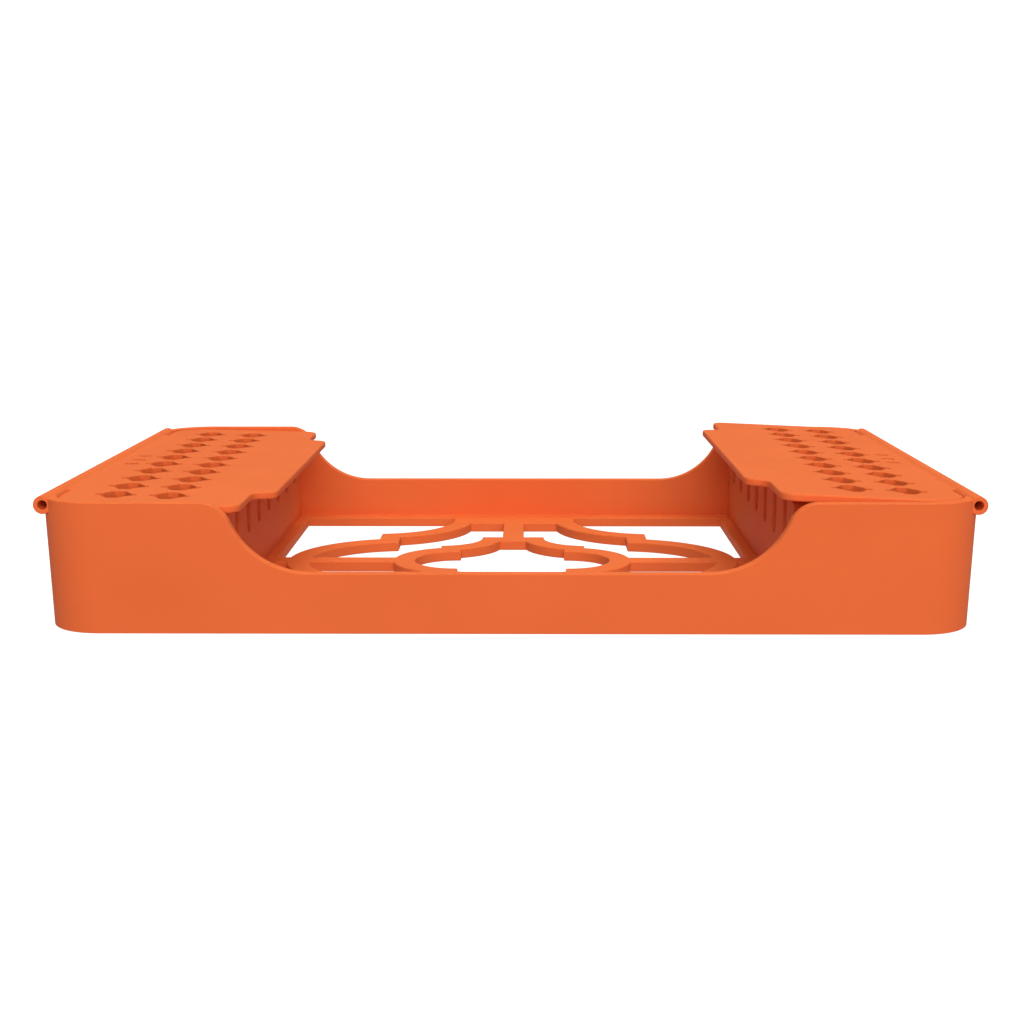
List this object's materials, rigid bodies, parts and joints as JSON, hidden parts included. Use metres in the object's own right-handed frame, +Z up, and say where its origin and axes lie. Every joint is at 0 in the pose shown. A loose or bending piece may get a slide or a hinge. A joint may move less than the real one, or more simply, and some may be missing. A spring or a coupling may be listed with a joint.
{
  "type": "instrument tray",
  "caption": "Shallow tray with notched dividers, a pierced floor, low middle rims and two vented flip-up end lids that hold slender instruments in place.",
  "frame": {"origin": "centre of the tray's underside, on the surface it stands on", "axes": "+X along the instruments, towards the lid that stands ajar; +Y from the front wall to the back wall; +Z up"},
  "size_m": [0.2214, 0.146, 0.0331],
  "materials": {
    "orange_plastic": "moulded matte orange plastic, faint even sheen",
    "pin_steel": "drawn stainless wire"
  },
  "bodies": {
    "tray": {"tray_shell": "orange_plastic", "left_divider": "orange_plastic", "right_divider": "orange_plastic", "floor_grille": "orange_plastic", "left_front_hinge_pin": "pin_steel", "left_rear_hinge_pin": "pin_steel", "right_front_hinge_pin": "pin_steel", "right_rear_hinge_pin": "pin_steel"},
    "left_lid": {"left_lid": "orange_plastic"},
    "right_lid": {"right_lid": "orange_plastic"}
  },
  "joints": [
    {"name": "left_lid_hinge", "type": "hinge", "parent": "tray", "child": "left_lid", "pos_m": [-0.1086, 0, 0.02945], "axis": [0, -1, 0], "range_deg": [0, 205]},
    {"name": "right_lid_hinge", "type": "hinge", "parent": "tray", "child": "right_lid", "pos_m": [0.1086, 0, 0.02945], "axis": [0, 1, 0], "range_deg": [-3.9, 201.1]}
  ]
}
